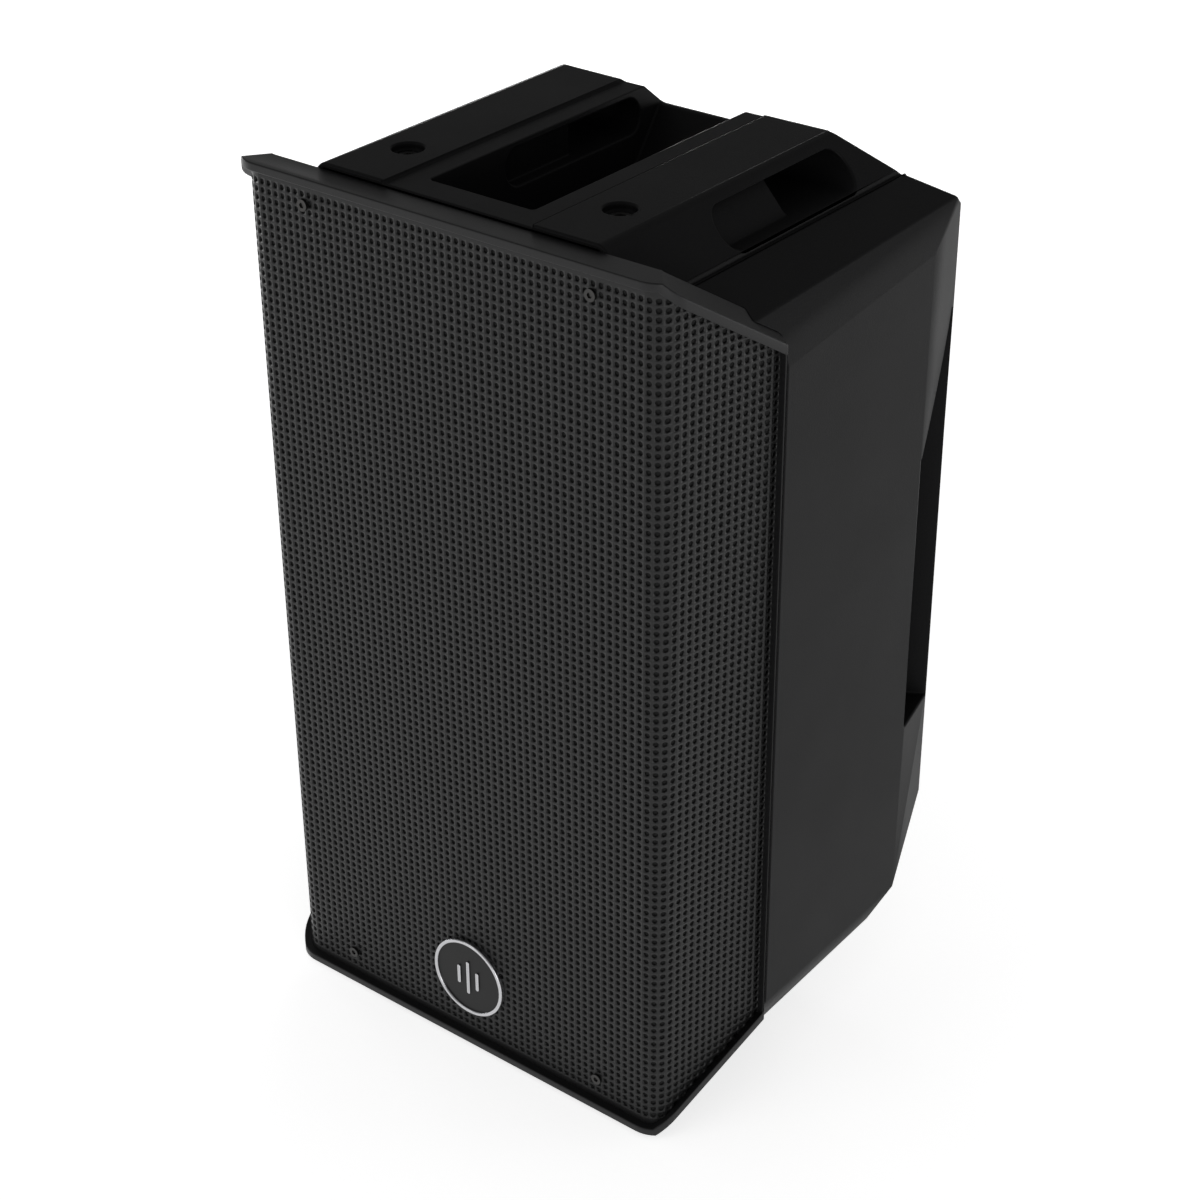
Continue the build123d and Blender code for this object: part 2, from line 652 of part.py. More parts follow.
with BuildPart() as whole_casing:
    add(casing_block(0))
    add(bezel_space, mode=Mode.SUBTRACT)
    with BuildSketch():
        with Locations((0, front)):
            Rectangle(2 * (front_half - 16), 2 * bezel_depth)
    extrude(amount=700, mode=Mode.SUBTRACT)
    add(cavity.part, mode=Mode.SUBTRACT)
    add(well_block(0), mode=Mode.SUBTRACT)
    add(hand_slots.part, mode=Mode.SUBTRACT)
    add(crease_grooves.part, mode=Mode.SUBTRACT)
    add(recess_block(0), mode=Mode.SUBTRACT)
    add(panel_well, mode=Mode.SUBTRACT)
    add(panel_window, mode=Mode.SUBTRACT)
    add(discs(panel_screw_points, screw_radius, panel_y - 20, depth), mode=Mode.SUBTRACT)
    add(discs(casing_screw_points, screw_radius, 0, 38), mode=Mode.SUBTRACT)
    add(upright(insert_points, 10.0, ridge_top - insert_recess, ridge_top + 5), mode=Mode.SUBTRACT)
    add(upright(insert_points, insert_radius, ridge_top - insert_recess - insert_length, ridge_top + 5),
        mode=Mode.SUBTRACT)
    add(upright([(0, pole_y)], pole_radius + pole_wall, 0, underside + 20), mode=Mode.SUBTRACT)
    add(upright(foot_points, 6.0, 0, underside + 10), mode=Mode.SUBTRACT)
    add(upright(pole_screw_points, screw_radius, 0, underside + 10), mode=Mode.SUBTRACT)
    # soften the ridges' outer folds
    fold = whole_casing.edges().filter_by(Axis.Y).filter_by(
        lambda e: abs(abs(e.center().X) - ridge_out) < 1 and e.center().Z > ridge_top - 1)
    fillet(fold, 9)

# The casing is one moulding, kept as five nodes so that each has a simple shape.
top_cut, base_cut, back_cut = 535.0, 100.0, 298.0
side_height = top_cut - base_cut
side_mid = foot_gap + (top_cut + base_cut) / 2
casing_cuts = {
    "casing_top": blocks([(0, foot_gap + top_cut + 50)], 400, 100, 0, depth),
    "casing_base": blocks([(0, foot_gap + base_cut - 50)], 400, 100, 0, depth),
    "casing_back": blocks([(0, side_mid)], 400, side_height, back_cut, depth),
    "casing_right": blocks([(100, side_mid)], 200, side_height, 0, back_cut),
    "casing_left": blocks([(-100, side_mid)], 200, side_height, 0, back_cut)}
casing_pieces = []
for label, space in casing_cuts.items():
    with BuildPart() as casing_piece:
        add(whole_casing.part)
        add(space, mode=Mode.INTERSECT)
    casing_piece.part.label = label
    casing_pieces.append(casing_piece)

# ---- base: feet, pole socket and rigging inserts ----------------------------------------------------
with BuildPart() as feet:
    add(upright(foot_points, foot_radius, 0, underside))
    chamfer(feet.edges().filter_by(GeomType.CIRCLE).group_by(Axis.Z)[0], 1.5)
    add(upright(foot_points, 6.0, underside, underside + 5))
feet.part.label = "feet"

pole_flange = 31.0
pole_flange_gauge = 3.0
pole_mouth_z = underside - pole_flange_gauge
with BuildPart() as pole_socket:
    add(upright([(0, pole_y)], pole_flange, pole_mouth_z, underside))
    add(upright([(0, pole_y)], pole_radius + pole_wall, underside, pole_mouth_z + pole_length + 4))
    add(upright([(0, pole_y)], pole_radius, pole_mouth_z, pole_mouth_z + pole_length), mode=Mode.SUBTRACT)
    add(upright(pole_screw_points, screw_radius, 0, underside), mode=Mode.SUBTRACT)
pole_socket.part.label = "pole_socket"

with BuildPart() as pole_screws:
    add(upright(pole_screw_points, screw_head, pole_mouth_z - 2, pole_mouth_z))
    add(upright(pole_screw_points, screw_radius, pole_mouth_z, underside + wall))
pole_screws.part.label = "pole_screws"

insert_bore = 4.25
insert_top = ridge_top - insert_recess
with BuildPart() as rigging_inserts:
    add(upright(insert_points, insert_radius, insert_top - insert_length, insert_top))
    add(upright(insert_points, insert_bore, insert_top - insert_length + 2, insert_top), mode=Mode.SUBTRACT)
rigging_inserts.part.label = "rigging_inserts"

wadding_gauge = 14.0
with BuildPart() as side_wadding:
    add(casing_block(wall))
    add(casing_block(wall + wadding_gauge), mode=Mode.SUBTRACT)
    with BuildSketch(Plane.XY.offset(foot_gap + 110)):
        with Locations((160, front + 175), (-160, front + 175)):
            Rectangle(50, 120)
    extrude(amount=380, mode=Mode.INTERSECT)
side_wadding.part.label = "side_wadding"

# ---- amplifier panel and its fittings -----------------------------------------------------------------
panel_out = panel_y + panel_gauge
channel_x = (-66.0, -18.0)
main_x = 62.0
socket_z = panel_z + 104.0
line_z = panel_z + 74.0
level_z = panel_z + 44.0
flange_out = panel_out + 2.5
socket_body = 12.4
tab_offset = 12.9
tab_slot = (6.2, 3.8)
tab_size = (5.2, 2.8)
bushing_radius = 4.8
shaft_radius = 3.0
button_gap = 0.45
mode_place = (22.0, line_z)
lens_place = (22.0, line_z + 22)
inlet_place = (main_x, panel_z - 104.0)
switch_place = (main_x, panel_z - 52.0)
heatsink_half = (56.0, 64.0)
heatsink_place = (-36.0, panel_z - 70.0)
sockets = [(x, socket_z) for x in (*channel_x, main_x)]
levels = [(x, level_z) for x in (*channel_x, main_x)]
line_places = [(x, line_z) for x in channel_x]
line_radius, mode_radius, lens_radius = 3.4, 5.0, 2.5
board_half = (64.0, 54.0)
board_x, board_z = -24.0, panel_z - 66.0
board_back = 308.0
standoff_points = [(board_x + sx * 58.0, board_z + sz * 48.0) for sx in (1, -1) for sz in (1, -1)]

with BuildPart() as amp_panel:
    add(blocks([(0, panel_z)], 2 * panel_half[0], 2 * panel_half[1], panel_y, panel_out, 5.5))
    add(discs(sockets, socket_body, 0, depth), mode=Mode.SUBTRACT)
    add(blocks([(x, socket_z + tab_offset) for x in channel_x], *tab_slot, 0, depth), mode=Mode.SUBTRACT)
    add(discs(levels, bushing_radius, 0, depth), mode=Mode.SUBTRACT)
    add(discs(line_places, line_radius + button_gap, 0, depth), mode=Mode.SUBTRACT)
    add(discs([mode_place], mode_radius + button_gap, 0, depth), mode=Mode.SUBTRACT)
    add(discs([lens_place], lens_radius, 0, depth), mode=Mode.SUBTRACT)
    add(blocks([inlet_place], 27.5, 20.0, 0, depth), mode=Mode.SUBTRACT)
    add(blocks([switch_place], 22.0, 28.0, 0, depth), mode=Mode.SUBTRACT)
    add(discs(panel_screw_points, screw_radius, 0, depth), mode=Mode.SUBTRACT)
amp_panel.part.label = "amp_panel"

with BuildPart() as panel_screws:
    # the panel faces the back, so these screws point forwards
    add(discs(panel_screw_points, screw_head, panel_out, panel_out + 2))
    add(discs(panel_screw_points, screw_radius, panel_y - 3.9, panel_out))
    with BuildSketch(front_plane(panel_out + 2)):
        with Locations(*panel_screw_points):
            RegularPolygon(screw_head * 0.5, 6)
    extrude(amount=1.2, mode=Mode.SUBTRACT)
panel_screws.part.label = "panel_screws"

fin_count = 13
fin_gauge = 2.0
fin_out = depth - 2.0
with BuildPart() as heatsink:
    add(blocks([heatsink_place], 2 * heatsink_half[0], 2 * heatsink_half[1], panel_out, panel_out + 4))
    fin_pitch = (2 * heatsink_half[0] - fin_gauge) / (fin_count - 1)
    with BuildSketch(front_plane(fin_out)):
        with Locations(heatsink_place):
            with GridLocations(fin_pitch, 0, fin_count, 1):
                Rectangle(fin_gauge, 2 * heatsink_half[1])
    extrude(amount=fin_out - panel_out - 3)
heatsink.part.label = "heatsink"

with BuildPart() as board_standoffs:
    add(discs(standoff_points, 3.5, board_back, panel_y))
board_standoffs.part.label = "board_standoffs"

with BuildPart() as amp_board:
    add(blocks([(board_x, board_z)], 2 * board_half[0], 2 * board_half[1], board_back - 1.6, board_back))
    chips = [(board_x + 24 * i, board_z + 18) for i in range(-2, 3)]
    add(blocks(chips, 15, 20, board_back, board_back + 4.5))
amp_board.part.label = "amp_board"

with BuildPart() as power_supply:
    add(blocks([(board_x, board_z)], 110, 84, board_back - 5, board_back - 1.6))
    add(discs([(board_x + 26 * (i - 1.5), board_z + 22) for i in range(4)], 11,
              board_back - 42, board_back - 5))
    add(blocks([(board_x + dx, board_z - 18) for dx in (-22, 22)], 36, 32,
               board_back - 34, board_back - 5, 4))
power_supply.part.label = "power_supply"

sockets_made = []
for label, places, bore in (("input_sockets", sockets[:2], 11.2), ("output_socket", sockets[2:], 9.6)):
    with BuildPart() as socket:
        add(blocks(places, 26.0, 31.0, panel_out, flange_out, 3))
        add(discs(places, socket_body, 296, flange_out))
        add(discs(places, bore, 303, flange_out), mode=Mode.SUBTRACT)
        if label == "input_sockets":
            slots = [(x, z + tab_offset) for x, z in places]
            add(discs(places, 3.3, 298, 303), mode=Mode.SUBTRACT)
            add(blocks(slots, *tab_slot, 313, flange_out), mode=Mode.SUBTRACT)
    socket.part.label = label
    sockets_made.append(socket)

latch_tabs = []
for number, x in enumerate(channel_x, 1):
    with BuildPart() as latch_tab:
        add(blocks([(x, socket_z + tab_offset)], *tab_size, 316, flange_out + 3))
    latch_tab.part.label = f"latch_tab_{number}"
    latch_tabs.append(latch_tab)

with BuildPart() as contact_pins:
    add(discs([(main_x + 4.8 * sin(radians(120 * i)), socket_z + 4.8 * cos(radians(120 * i)))
               for i in range(3)], 1.2, 303, 317))
    add(blocks([(inlet_place[0] + dx, inlet_place[1] + dz) for dx, dz in ((-7, -2), (7, -2), (0, 2.5))],
               2, 4, 308, 320))
contact_pins.part.label = "contact_pins"

shafts, knobs = [], []
knob_radius = 8.0
knob_near = flange_out - 0.2
with BuildPart() as potentiometers:
    add(blocks(levels, 16, 20, 307, 318))
    add(discs(levels, bushing_radius, 318, flange_out - 1))
    add(discs(levels, shaft_radius + 0.06, 309, flange_out), mode=Mode.SUBTRACT)
potentiometers.part.label = "potentiometers"

for number, place in enumerate(levels, 1):
    with BuildPart() as shaft:
        add(discs([place], shaft_radius, 310, knob_near + 8))
    shaft.part.label = f"level_shaft_{number}"
    shafts.append(shaft)
    with BuildPart() as knob:
        add(discs([place], knob_radius, knob_near, fin_out - 1))
        chamfer(knob.edges().filter_by(GeomType.CIRCLE).group_by(Axis.Y)[-1], 1.0)
        add(discs([place], shaft_radius, knob_near, knob_near + 8), mode=Mode.SUBTRACT)
        flutes = [(place[0] + knob_radius * 1.08 * sin(radians(30 * i)),
                   place[1] + knob_radius * 1.08 * cos(radians(30 * i))) for i in range(12)]
        add(discs(flutes, 1.4, knob_near + 2, depth), mode=Mode.SUBTRACT)
    knob.part.label = f"level_knob_{number}"
    knobs.append(knob)

button_back = 314.0
buttons = []
for name, place, radius in (("line_button_1", line_places[0], line_radius),
                            ("line_button_2", line_places[1], line_radius),
                            ("mode_button", mode_place, mode_radius)):
    with BuildPart() as button:
        add(discs([place], radius, button_back, panel_out + 3.5))
        fillet(button.edges().filter_by(GeomType.CIRCLE).group_by(Axis.Y)[-1], 0.6)
    button.part.label = name
    buttons.append(button)


def switch_bodies(places, radius):
    """Push switches behind the panel, each with a well that its button drops into."""
    with BuildPart() as switch:
        add(blocks(places, 2 * radius + 5, 2 * radius + 5, 302, panel_y))
        add(discs(places, radius + button_gap, button_back - 3, panel_y), mode=Mode.SUBTRACT)
    return switch.part


with BuildPart() as push_switches:
    add(switch_bodies(line_places, line_radius))
    add(switch_bodies([mode_place], mode_radius))
push_switches.part.label = "push_switches"

with BuildPart() as status_lens:
    add(discs([lens_place], lens_radius, 316, panel_out + 1.2))
status_lens.part.label = "status_lens"

with BuildPart() as power_inlet:
    add(blocks([inlet_place], 32, 25, panel_out, flange_out, 3))
    add(blocks([inlet_place], 27.5, 20, 303, panel_out))
    add(blocks([inlet_place], 23, 15.5, 308, flange_out, 2), mode=Mode.SUBTRACT)
power_inlet.part.label = "power_inlet"

rocker_half = (8.2, 10.4)
rocker_tilt = 6.0
pivot_y = 319.0
with BuildPart() as switch_housing:
    add(blocks([switch_place], 26, 32, panel_out, flange_out, 2))
    add(blocks([switch_place], 22, 28, 302, panel_out))
    add(blocks([switch_place], 17.4, 23.4, 312, flange_out), mode=Mode.SUBTRACT)
    with BuildSketch(Plane.YZ.offset(switch_place[0] - 10)):
        with Locations((front + pivot_y, switch_place[1])):
            Circle(1.2)
    extrude(amount=20, mode=Mode.SUBTRACT)
switch_housing.part.label = "switch_housing"

with BuildPart() as rocker_pin:
    with BuildSketch(Plane.YZ.offset(switch_place[0] - 10)):
        with Locations((front + pivot_y, switch_place[1])):
            Circle(1.2)
    extrude(amount=20)
rocker_pin.part.label = "rocker_pin"

rocker_plane = Plane(origin=(switch_place[0] - rocker_half[0], front + pivot_y, switch_place[1]),
                     x_dir=(0, cos(radians(rocker_tilt)), sin(radians(rocker_tilt))), z_dir=(1, 0, 0))
with BuildPart() as power_rocker:
    with BuildSketch(rocker_plane):
        with BuildLine():
            Polyline((-4, -rocker_half[1] + 2), (8, -rocker_half[1]), (6.5, 0), (8, rocker_half[1]),
                     (-4, rocker_half[1] - 2), close=True)
        make_face()
        Circle(1.26, mode=Mode.SUBTRACT)
    extrude(amount=2 * rocker_half[0])
power_rocker.part.label = "power_rocker"

# ---- write every piece --------------------------------------------------------------------------------
os.makedirs("parts", exist_ok=True)
pieces = [front_bezel, *casing_pieces, grille, grille_foam, grille_screws, badge_plate, badge_ring,
          woofer_frame, woofer_gasket, woofer_surround, woofer_cone, dust_cap, voice_coil, spider,
          woofer_top_plate, woofer_magnet, woofer_back_plate, horn, baffle_screws, compression_driver,
          driver_bolts, driver_diaphragm, *port_tubes, feet, pole_socket, pole_screws, rigging_inserts,
          side_wadding, amp_panel, panel_screws, heatsink, board_standoffs, amp_board, power_supply,
          *sockets_made, *latch_tabs, contact_pins, potentiometers, *shafts, *knobs, *buttons, push_switches,
          status_lens, power_inlet, switch_housing, rocker_pin, power_rocker]
for piece in pieces:
    export_step(piece.part, f"parts/{piece.part.label}.step")
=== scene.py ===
from math import cos, pi, radians, sin, tan

import bpy
from mathutils import Matrix, Vector


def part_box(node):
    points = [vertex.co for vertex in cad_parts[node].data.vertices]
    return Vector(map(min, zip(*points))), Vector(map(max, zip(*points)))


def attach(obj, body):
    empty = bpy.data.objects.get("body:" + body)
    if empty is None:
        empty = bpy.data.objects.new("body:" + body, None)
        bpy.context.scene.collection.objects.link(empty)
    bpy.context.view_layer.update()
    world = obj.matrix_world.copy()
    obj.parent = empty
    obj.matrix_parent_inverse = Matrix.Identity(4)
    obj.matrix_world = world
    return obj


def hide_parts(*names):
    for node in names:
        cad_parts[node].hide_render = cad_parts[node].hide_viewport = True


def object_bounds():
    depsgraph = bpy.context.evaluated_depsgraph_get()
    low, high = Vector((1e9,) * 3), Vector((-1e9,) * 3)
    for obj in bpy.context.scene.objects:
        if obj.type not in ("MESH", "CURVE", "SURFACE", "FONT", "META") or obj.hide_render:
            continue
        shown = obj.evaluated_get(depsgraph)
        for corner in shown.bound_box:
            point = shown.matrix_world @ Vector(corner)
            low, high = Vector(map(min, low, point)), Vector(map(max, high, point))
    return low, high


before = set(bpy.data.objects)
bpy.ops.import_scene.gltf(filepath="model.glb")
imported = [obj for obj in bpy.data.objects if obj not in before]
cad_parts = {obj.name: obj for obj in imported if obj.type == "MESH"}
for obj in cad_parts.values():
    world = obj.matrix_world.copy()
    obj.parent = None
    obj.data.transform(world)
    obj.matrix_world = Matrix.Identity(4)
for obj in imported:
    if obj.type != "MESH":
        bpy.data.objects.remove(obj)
cad_box = [list(corner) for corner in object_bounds()]

# ---- front bezel and rear casing ----------------------------------------------------------------------
# Two injection mouldings in black, fine-grained polypropylene: the bezel that carries the grille and
# both drivers, and the casing with its carrying ridges. Their moulded edges are softly rounded.
MM = 0.001
mould_black = (0.0062, 0.0062, 0.0065, 1)
mould_grey = (0.0086, 0.0086, 0.0089, 1)
mould_edge = 1.6 * MM
bezel_edge = 0.9 * MM
bezel_edge_angle = 40             # only bezel edges sharper than this many degrees are rounded
same_point = 0.01 * MM            # points of one CAD piece closer than this are one
same_seam = 0.05 * MM             # points of two joined pieces closer than this are one
flat_angle = radians(0.6)         # faces that meet at less than this are one flat face
needle_angle = radians(28)        # edges that meet at less than this make a needle's point
smooth_angle = radians(32)        # shading is smooth across a gentler edge than this
mould_grain = 1500


def socket(group, name, direction, kind="NodeSocketFloat", value=None):
    made = group.interface.new_socket(name=name, in_out=direction, socket_type=kind)
    if value is not None:
        made.default_value = value
    return made


def grain_group():
    """Fine grain with slow cloudy variation, for every moulded, cast or painted surface."""
    group = bpy.data.node_groups.new("surface_grain", "ShaderNodeTree")
    for name, value in (("Grain Scale", 1500.0), ("Cloud Scale", 14.0)):
        socket(group, name, "INPUT", value=value)
    for name in ("Height", "Tone", "Wear"):
        socket(group, name, "OUTPUT")
    nodes, links = group.nodes, group.links
    inside, outside = nodes.new("NodeGroupInput"), nodes.new("NodeGroupOutput")
    place = nodes.new("ShaderNodeTexCoord")
    fine, cell, cloud, scuff = [nodes.new(kind) for kind in (
        "ShaderNodeTexNoise", "ShaderNodeTexVoronoi", "ShaderNodeTexNoise", "ShaderNodeTexNoise")]
    for texture in (fine, cell, cloud, scuff):
        links.new(place.outputs["Object"], texture.inputs["Vector"])
    links.new(inside.outputs["Grain Scale"], fine.inputs["Scale"])
    half = nodes.new("ShaderNodeMath")
    half.operation = "MULTIPLY"
    half.inputs[1].default_value = 0.62
    links.new(inside.outputs["Grain Scale"], half.inputs[0])
    links.new(half.outputs[0], cell.inputs["Scale"])
    links.new(inside.outputs["Cloud Scale"], cloud.inputs["Scale"])
    fine.inputs["Detail"].default_value = 3
    cloud.inputs["Detail"].default_value = 5
    scuff.inputs["Scale"].default_value = 46
    scuff.inputs["Detail"].default_value = 6
    scuff.inputs["Roughness"].default_value = 0.7
    sharp = nodes.new("ShaderNodeMapRange")
    sharp.inputs["From Min"].default_value = 0.62
    sharp.inputs["From Max"].default_value = 0.80
    links.new(scuff.outputs["Fac"], sharp.inputs["Value"])
    both = nodes.new("ShaderNodeMath")
    both.operation = "MULTIPLY_ADD"
    both.inputs[1].default_value = 0.6
    links.new(cell.outputs["Distance"], both.inputs[0])
    links.new(fine.outputs["Fac"], both.inputs[2])
    links.new(both.outputs[0], outside.inputs["Height"])
    links.new(cloud.outputs["Fac"], outside.inputs["Tone"])
    links.new(sharp.outputs["Result"], outside.inputs["Wear"])
    return group


surface_grain = grain_group()


def grained(name, dark, light, roughness, grain, depth, metallic=0.0, cloud=14.0, spread=0.10, coat=0.0,
            specular=0.5):
    """A material with grain in its surface and cloudy tone and gloss; `depth` is in metres."""
    made = bpy.data.materials.new(name)
    made.use_nodes = True
    nodes, links = made.node_tree.nodes, made.node_tree.links
    shader = nodes["Principled BSDF"]
    shader.inputs["Metallic"].default_value = metallic
    shader.inputs["Coat Weight"].default_value = coat
    shader.inputs["Specular IOR Level"].default_value = specular
    surface = nodes.new("ShaderNodeGroup")
    surface.node_tree = surface_grain
    surface.inputs["Grain Scale"].default_value = grain
    surface.inputs["Cloud Scale"].default_value = cloud
    tone = nodes.new("ShaderNodeMix")
    tone.data_type = "RGBA"
    tone.inputs["A"].default_value = dark
    tone.inputs["B"].default_value = light
    links.new(surface.outputs["Tone"], tone.inputs["Factor"])
    links.new(tone.outputs["Result"], shader.inputs["Base Color"])
    gloss = nodes.new("ShaderNodeMapRange")
    gloss.inputs["From Min"].default_value = 0.3
    gloss.inputs["From Max"].default_value = 0.7
    gloss.inputs["To Min"].default_value = roughness - spread / 2
    gloss.inputs["To Max"].default_value = roughness + spread / 2
    links.new(surface.outputs["Tone"], gloss.inputs["Value"])
    worn = nodes.new("ShaderNodeMath")
    worn.operation = "MULTIPLY_ADD"
    worn.inputs[1].default_value = -0.06
    links.new(surface.outputs["Wear"], worn.inputs[0])
    links.new(gloss.outputs["Result"], worn.inputs[2])
    links.new(worn.outputs[0], shader.inputs["Roughness"])
    bump = nodes.new("ShaderNodeBump")
    bump.inputs["Strength"].default_value = 0.5
    bump.inputs["Distance"].default_value = depth
    links.new(surface.outputs["Height"], bump.inputs["Height"])
    links.new(bump.outputs["Normal"], shader.inputs["Normal"])
    return made


def wear(material, *names):
    """Gives CAD pieces their material."""
    for name in names:
        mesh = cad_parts[name].data
        mesh.materials.clear()
        mesh.materials.append(material)


def copied(name):
    """A copy of a CAD piece as one clean mesh with large flat faces."""
    bpy.ops.object.select_all(action="DESELECT")
    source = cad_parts[name]
    source.select_set(True)
    bpy.context.view_layer.objects.active = source
    bpy.ops.object.duplicate()
    piece = bpy.context.active_object
    bpy.ops.object.mode_set(mode="EDIT")
    bpy.ops.mesh.select_all(action="SELECT")
    bpy.ops.mesh.remove_doubles(threshold=same_point)
    bpy.ops.mesh.dissolve_limited(angle_limit=flat_angle)
    bpy.ops.object.mode_set(mode="OBJECT")
    return piece


def leave_needles_sharp(mesh, width, sharp_box):
    """Deselects the edges that are too short to round or meet in a needle's point, and those in a box.

    The box is given for the right-hand side, and holds for the left as well."""
    (side_low, side_high), (y_low, y_high), (z_low, z_high) = sharp_box
    for edge in mesh.edges:
        for end in edge.vertices:
            x, y, z = mesh.vertices[end].co
            if side_low < abs(x) < side_high and y_low < y < y_high and z_low < z < z_high:
                edge.select = False
    meeting = {}
    for edge in mesh.edges:
        if edge.select:
            for here, there in (edge.vertices, reversed(edge.vertices)):
                way = (mesh.vertices[there].co - mesh.vertices[here].co)
                meeting.setdefault(here, []).append((edge, way))
    for ways in meeting.values():
        for i, (edge, way) in enumerate(ways):
            if way.length < 0.5 * width:
                edge.select = False
            for other, other_way in ways[i + 1:]:
                if way.angle(other_way, pi) < needle_angle:
                    edge.select = other.select = False


empty_box = ((1, 1), (0, 0), (0, 0))


def softened(name, nodes, material, width, angle=30, sharp_box=empty_box):
    """CAD pieces made one, with the edges sharper than `angle` degrees rounded; it stands for them."""
    corners = [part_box(node) for node in nodes]
    lowest = [min(low[axis] for low, high in corners) for axis in range(3)]
    highest = [max(high[axis] for low, high in corners) for axis in range(3)]
    piece = copied(nodes[0])
    for other in nodes[1:]:
        extra = copied(other)
        bpy.context.view_layer.objects.active = piece
        union = piece.modifiers.new("join", "BOOLEAN")
        union.operation = "UNION"
        union.solver = "EXACT"
        union.object = extra
        bpy.ops.object.modifier_apply(modifier=union.name)
        bpy.data.objects.remove(extra, do_unlink=True)
    piece.name = name
    piece.data.materials.clear()
    piece.data.materials.append(material)
    bpy.ops.object.select_all(action="DESELECT")
    piece.select_set(True)
    bpy.ops.object.mode_set(mode="EDIT")
    bpy.ops.mesh.select_all(action="SELECT")
    bpy.ops.mesh.remove_doubles(threshold=same_seam)
    bpy.ops.mesh.dissolve_limited(angle_limit=flat_angle)
    bpy.ops.mesh.select_mode(type="EDGE")
    bpy.ops.mesh.select_all(action="DESELECT")
    bpy.ops.mesh.edges_select_sharp(sharpness=radians(angle))
    bpy.ops.object.mode_set(mode="OBJECT")
    leave_needles_sharp(piece.data, width, sharp_box)
    weights = piece.data.attributes.new("bevel_weight_edge", "FLOAT", "EDGE")
    for edge in piece.data.edges:
        weights.data[edge.index].value = 1.0 if edge.select else 0.0
    bevel = piece.modifiers.new("edge", "BEVEL")
    bevel.width = width
    bevel.segments = 3
    bevel.limit_method = "WEIGHT"
    bevel.use_clamp_overlap = False
    bevel.miter_outer = "MITER_ARC"
    bpy.ops.object.modifier_apply(modifier=bevel.name)
    for vertex in piece.data.vertices:
        vertex.co = [min(max(vertex.co[axis], lowest[axis]), highest[axis]) for axis in range(3)]
    bpy.ops.object.shade_smooth_by_angle(angle=smooth_angle)
    even = piece.modifiers.new("even", "WEIGHTED_NORMAL")
    even.weight = 100
    even.keep_sharp = True
    bpy.ops.object.modifier_apply(modifier=even.name)
    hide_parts(*nodes)
    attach(piece, "cabinet")
    return piece


moulded = grained("moulded_plastic", mould_black, mould_grey, 0.46, mould_grain, 0.00014,
                  spread=0.05, specular=0.05)
satin_black = grained("bezel_plastic", (0.0085, 0.0085, 0.0088, 1), (0.011, 0.011, 0.0114, 1),
                      0.40, 1700, 0.0001, spread=0.05, specular=0.24)
# the rear grips run out to nothing here, in edges too fine to round
grip_run_out = ((0.138, 0.190), (0.080, 0.140), (0.404, 0.500))
softened("rear_casing", ["casing_back", "casing_right", "casing_left", "casing_top", "casing_base"],
         moulded, mould_edge, sharp_box=grip_run_out)
softened("bezel", ["front_bezel"], satin_black, bezel_edge,
         angle=bezel_edge_angle)
wear(moulded, "horn", "left_port_tube", "right_port_tube", "pole_socket")

# ---- grille -------------------------------------------------------------------------------------------
# Steel sheet punched with straight rows of round holes, folded back at both sides, then powder coated.
# One hole is shaped, repeated over the sheet laid flat, and the sheet is folded round its two bends.
pitch = 5.5 * MM
hole_radius = 1.95 * MM
gauge = 1.5 * MM
fold = radians(74.8)
bezel_bend = 22.0 * MM
recess = 5.5 * MM
front_half = 161.8 * MM
front_y = cad_box[0][1]
sheet_low, sheet_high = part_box("grille")
rows = 106
flat_columns = 53
wing_columns = 17
inner_bend = bezel_bend - recess
fold_corner = front_half - recess * tan(fold / 2)
fold_start = fold_corner - inner_bend * tan(fold / 2)
fold_length = inner_bend * fold
margin = ((sheet_high[2] - sheet_low[2]) - rows * pitch) / 2

powder_coat = grained("powder_coat", (0.0055, 0.0055, 0.0057, 1), (0.009, 0.009, 0.0092, 1),
                      0.38, 900, 0.00008,
                      cloud=9.0, spread=0.08, specular=0.26)


def folded(point):
    """Where a point of the flat sheet goes once the sheet is folded; x runs along the sheet."""
    side = 1 if point.x >= 0 else -1
    along, behind = abs(point.x), point.y
    if along <= fold_start:
        x, y = along, behind
    else:
        turn = min((along - fold_start) / inner_bend, fold)
        past = max(along - fold_start - fold_length, 0)
        reach = inner_bend - behind
        x = fold_start + reach * sin(turn) + past * cos(turn)
        y = inner_bend - reach * cos(turn) + past * sin(turn)
    return Vector((side * x, front_y + recess + y, point.z))


